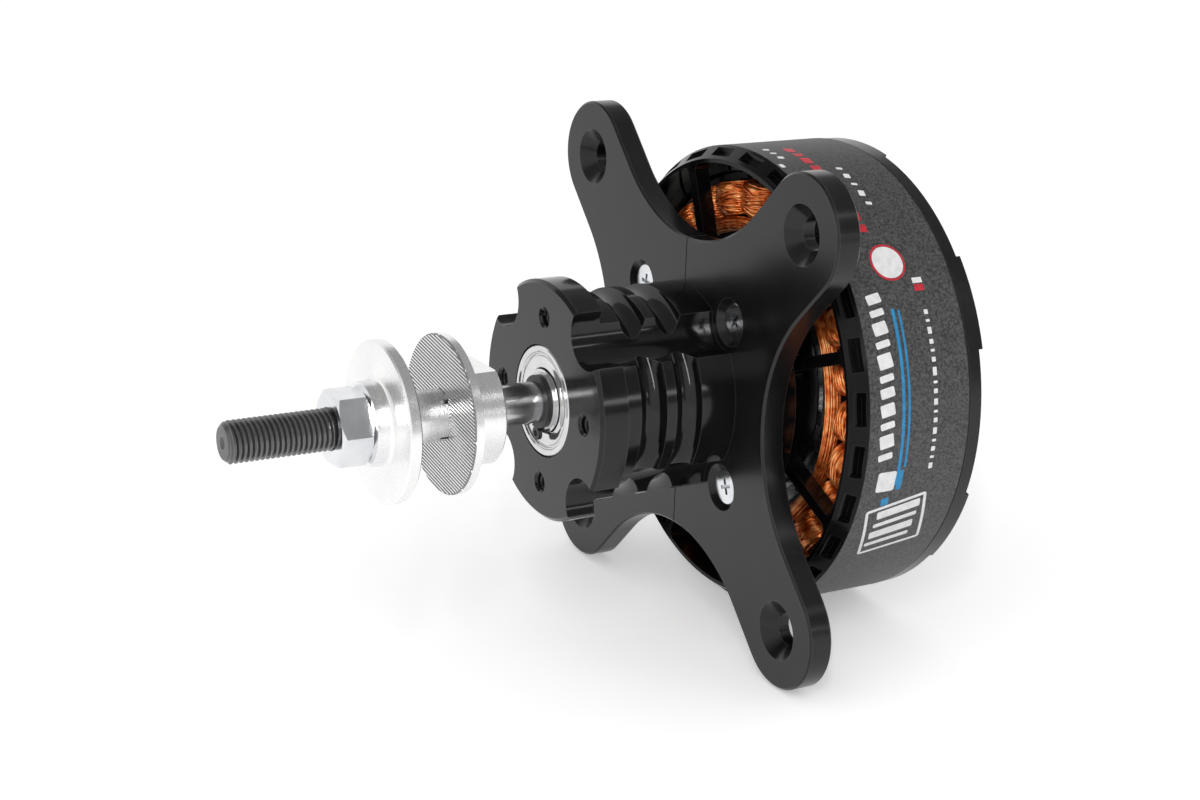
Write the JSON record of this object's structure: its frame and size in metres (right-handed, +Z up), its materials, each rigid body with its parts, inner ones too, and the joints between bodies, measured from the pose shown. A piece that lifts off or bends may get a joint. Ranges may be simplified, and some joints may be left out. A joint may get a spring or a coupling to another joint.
{
  "type": "brushless outrunner motor",
  "caption": "Brushless outrunner aircraft motor with a split four-arm mounting cross, a ribbed front bearing housing and a threaded propeller adapter.",
  "frame": {"origin": "on the shaft's axis, in the plane of the mounting cross's rear face, at the centre of its four mounting holes", "axes": "+X along the shaft towards the propeller, +Z up; the cross's arms lie at 45 degrees to Y and Z"},
  "size_m": [0.1401, 0.0994, 0.0994],
  "materials": {
    "black_anodised": "satin black anodised aluminium",
    "plain_aluminium": "bright turned aluminium",
    "bearing_steel": "polished",
    "cage_plastic": "moulded nylon",
    "ground_steel": "ground",
    "spring_steel": "phosphated spring steel",
    "black_steel": "black oxide",
    "zinc_screw": "bright zinc plated",
    "core_steel": "laminated electrical steel with black insulation",
    "copper_wire": "enamelled copper wire",
    "can_steel": "blackened steel",
    "magnet_nickel": "nickel plated magnets",
    "label_film": "dark grained film"
  },
  "bodies": {
    "stator": {"hub_housing": "black_anodised", "mount_cross_right": "black_anodised", "mount_cross_left": "black_anodised", "cross_screws": "zinc_screw", "stator_carrier": "plain_aluminium", "carrier_circlip": "spring_steel", "stator_core": "core_steel", "coils_phase_a": "copper_wire", "coils_phase_b": "copper_wire", "coils_phase_c": "copper_wire", "winding_bundle": "copper_wire", "front_bearing_outer_ring": "bearing_steel", "front_bearing_shields": "bearing_steel", "rear_bearing_outer_ring": "bearing_steel", "rear_bearing_shields": "bearing_steel", "bell_bearing_inner_ring": "bearing_steel"},
    "rotor": {"motor_shaft": "ground_steel", "shaft_shim": "ground_steel", "shaft_circlip": "spring_steel", "front_bearing_inner_ring": "bearing_steel", "rear_bearing_inner_ring": "bearing_steel", "bell_bearing_outer_ring": "bearing_steel", "bell_bearing_shields": "bearing_steel", "front_bell": "black_anodised", "rotor_can": "can_steel", "rotor_magnets": "magnet_nickel", "can_label": "label_film", "rear_bell": "black_anodised", "bell_grub_screws": "black_steel", "prop_drive_plate": "plain_aluminium", "prop_collet": "plain_aluminium", "prop_stud": "black_steel"},
    "front_ball_set": {"front_bearing_balls": "bearing_steel", "front_bearing_cage": "cage_plastic"},
    "rear_ball_set": {"rear_bearing_balls": "bearing_steel", "rear_bearing_cage": "cage_plastic"},
    "bell_ball_set": {"bell_bearing_balls": "bearing_steel", "bell_bearing_cage": "cage_plastic"},
    "washer": {"prop_washer": "plain_aluminium"},
    "nut": {"prop_nut": "zinc_screw"}
  },
  "joints": [
    {"name": "rotor_spin", "type": "hinge", "parent": "stator", "child": "rotor", "pos_m": [0, 0, 0], "axis": [1, 0, 0], "continuous": true},
    {"name": "front_ball_roll", "type": "hinge", "parent": "stator", "child": "front_ball_set", "pos_m": [0, 0, 0], "axis": [1, 0, 0], "continuous": true},
    {"name": "rear_ball_roll", "type": "hinge", "parent": "stator", "child": "rear_ball_set", "pos_m": [0, 0, 0], "axis": [1, 0, 0], "continuous": true},
    {"name": "bell_ball_roll", "type": "hinge", "parent": "stator", "child": "bell_ball_set", "pos_m": [0, 0, 0], "axis": [1, 0, 0], "continuous": true},
    {"name": "washer_travel", "type": "slide", "parent": "rotor", "child": "washer", "axis": [1, 0, 0], "range_m": [0, 0.015]},
    {"name": "nut_turn", "type": "hinge", "parent": "washer", "child": "nut", "pos_m": [0, 0, 0], "axis": [-1, 0, 0], "range_deg": [0, 5400]}
  ],
  "couplings": [
    {"joint": "front_ball_roll", "follows": "rotor_spin", "ratio": 0.3685},
    {"joint": "rear_ball_roll", "follows": "rotor_spin", "ratio": 0.3685},
    {"joint": "bell_ball_roll", "follows": "rotor_spin", "ratio": 0.5472},
    {"joint": "washer_travel", "follows": "nut_turn", "m_per_rad": 0.00015915}
  ]
}
